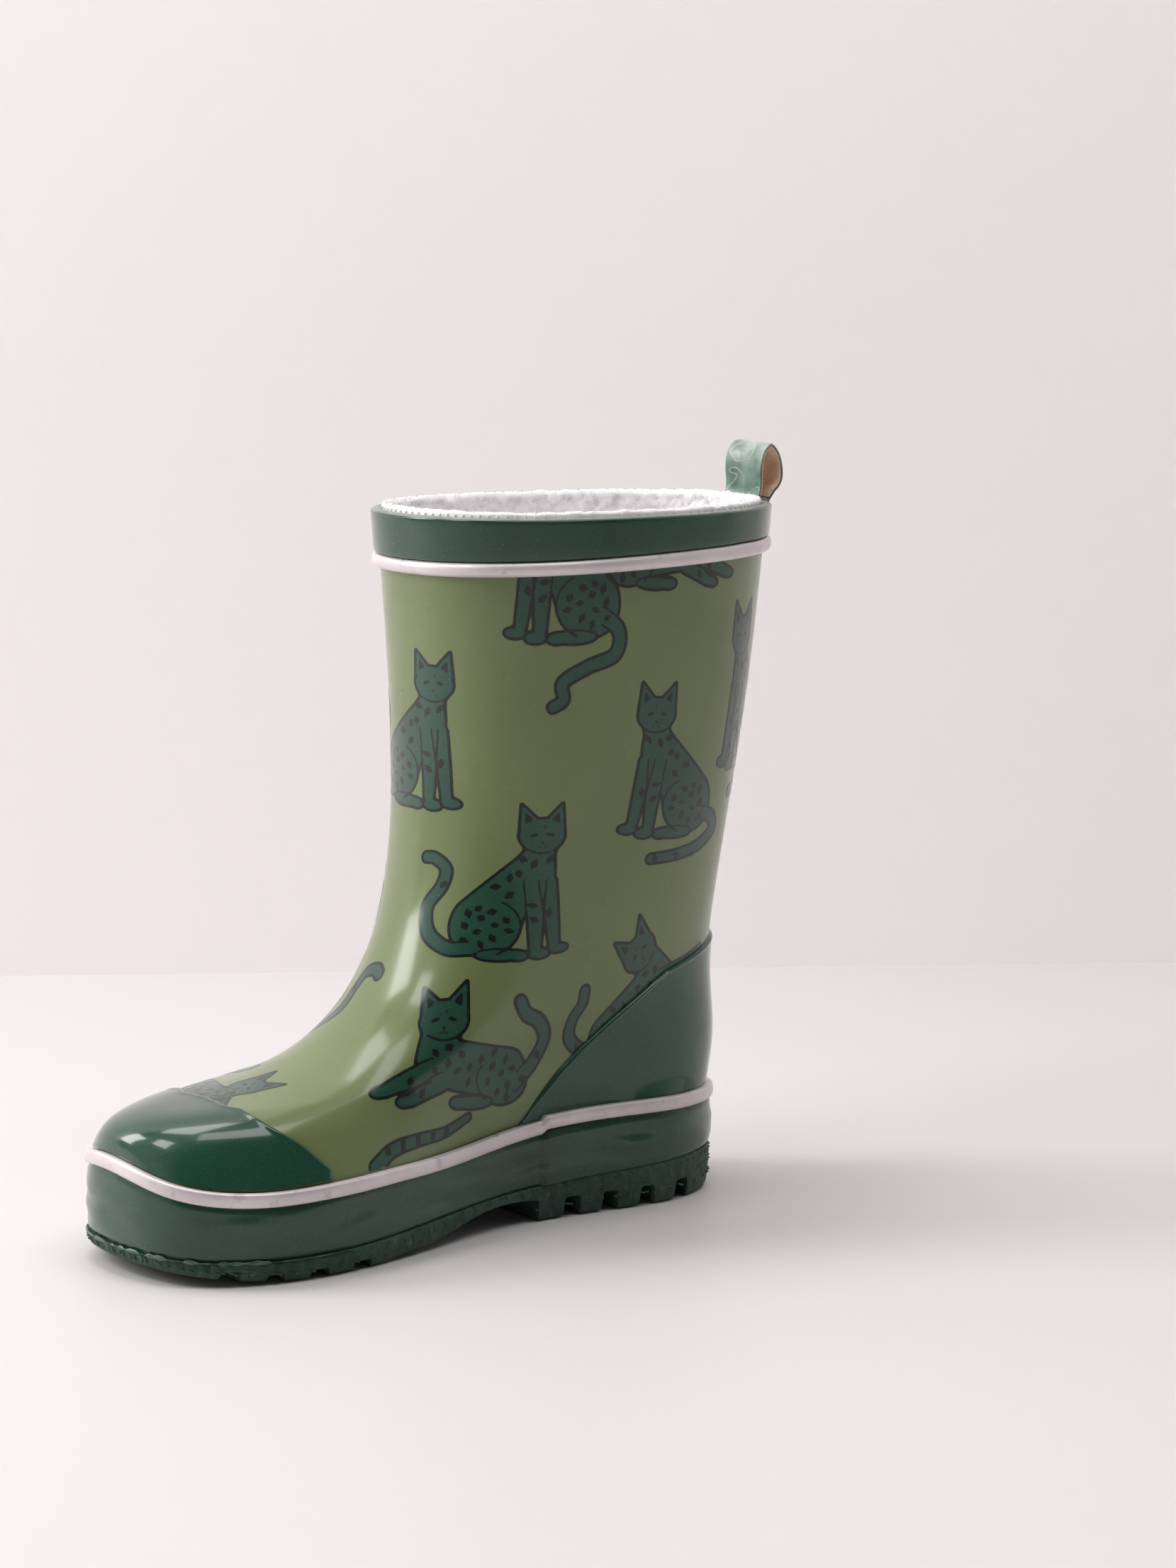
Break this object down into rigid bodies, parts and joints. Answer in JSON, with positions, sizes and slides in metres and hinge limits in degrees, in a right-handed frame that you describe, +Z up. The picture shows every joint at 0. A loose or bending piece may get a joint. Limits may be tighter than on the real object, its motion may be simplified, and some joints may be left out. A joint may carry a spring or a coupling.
{
  "type": "rubber rain boot",
  "caption": "Child's pull-on rubber rain boot for the right foot, with toe cap, heel counter, collar band, textile lining, lugged sole and a pull loop at the back.",
  "frame": {"origin": "on the ground under the middle of the boot's box", "axes": "+Z up, toe towards -Y, heel towards +Y, inner side of the foot towards +X"},
  "size_m": [0.0818, 0.2138, 0.2062],
  "materials": {
    "sage_rubber": "glossy",
    "green_rubber": "glossy",
    "silver_rubber": "satin",
    "sole_rubber": "matte",
    "lining_textile": "matte",
    "insole_foam": "matte",
    "board": "matte",
    "filler_foam": "matte",
    "canvas": "matte"
  },
  "bodies": {
    "boot": {"outsole": "sole_rubber", "foxing_tape": "green_rubber", "foxing_stripe": "silver_rubber", "toe_cap": "green_rubber", "heel_counter": "green_rubber", "back_strip": "green_rubber", "upper_shell": "sage_rubber", "collar_band": "green_rubber", "collar_stripe": "silver_rubber", "lining": "lining_textile", "insole_board": "board", "forefoot_filler": "filler_foam", "heel_filler": "filler_foam", "toe_puff": "board", "heel_stiffener": "board", "pull_loop_anchor": "green_rubber", "pull_loop_tail": "green_rubber"},
    "insole_body": {"insole": "insole_foam"},
    "pull_loop": {"pull_loop_strap": "green_rubber", "pull_loop_backing": "canvas"}
  },
  "joints": [
    {"name": "pull_loop_flex", "type": "hinge", "parent": "boot", "child": "pull_loop", "pos_m": [0.002, 0.10107, 0.1903], "axis": [1, 0, 0], "range_deg": [-40, 40], "stiffness_Nm_per_rad": 0.01},
    {"name": "insole_lift", "type": "hinge", "parent": "boot", "child": "insole_body", "pos_m": [0, -0.09583, 0.0185], "axis": [1, 0, 0], "range_deg": [0, 7]}
  ]
}
